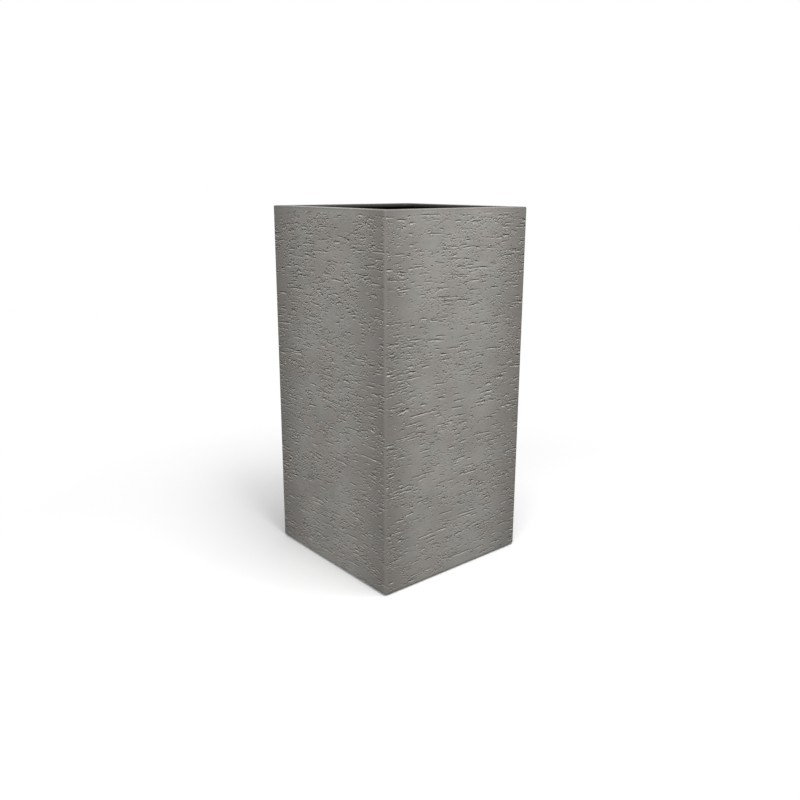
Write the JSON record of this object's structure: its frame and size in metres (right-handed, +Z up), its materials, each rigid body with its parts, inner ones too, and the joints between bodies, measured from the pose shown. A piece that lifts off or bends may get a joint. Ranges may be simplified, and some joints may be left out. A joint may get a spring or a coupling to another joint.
{
  "type": "tall square planter",
  "caption": "Tall square floor planter with straight textured walls, an inward rim, a lift-out planting shelf and a plugged drain hole in its base.",
  "frame": {"origin": "on the floor, under the middle of the planter", "axes": "+Z up, X and Y square to the four walls, with the walls named left at -X and front at -Y"},
  "size_m": [0.4, 0.4, 0.8],
  "materials": {
    "stone_finish": "matt warm grey stone-like coat on glass-fibre laminate, with fine horizontal pits",
    "black_laminate": "matt black flowcoat on glass-fibre laminate",
    "bonding_resin": "black filled resin, hand-coved",
    "shelf_board": "dark grey recycled plastic board with a fine pressed grain and pale flecks",
    "rubber": "matt black rubber"
  },
  "bodies": {
    "planter": {"wall_shell": "stone_finish", "base_panel": "black_laminate", "base_bond_cove": "bonding_resin", "shelf_ledge_front": "black_laminate", "shelf_ledge_right": "black_laminate", "shelf_ledge_back": "black_laminate", "shelf_ledge_left": "black_laminate", "foot_pad_front_left": "rubber", "foot_pad_front_right": "rubber", "foot_pad_back_right": "rubber", "foot_pad_back_left": "rubber"},
    "shelf": {"planting_shelf": "shelf_board"},
    "plug": {"drain_plug": "rubber"}
  },
  "joints": [
    {"name": "shelf_lift", "type": "slide", "parent": "planter", "child": "shelf", "axis": [0, 0, 1], "range_m": [0, 0.32]},
    {"name": "plug_pull", "type": "slide", "parent": "planter", "child": "plug", "axis": [0, 0, 1], "range_m": [0, 0.05]}
  ]
}
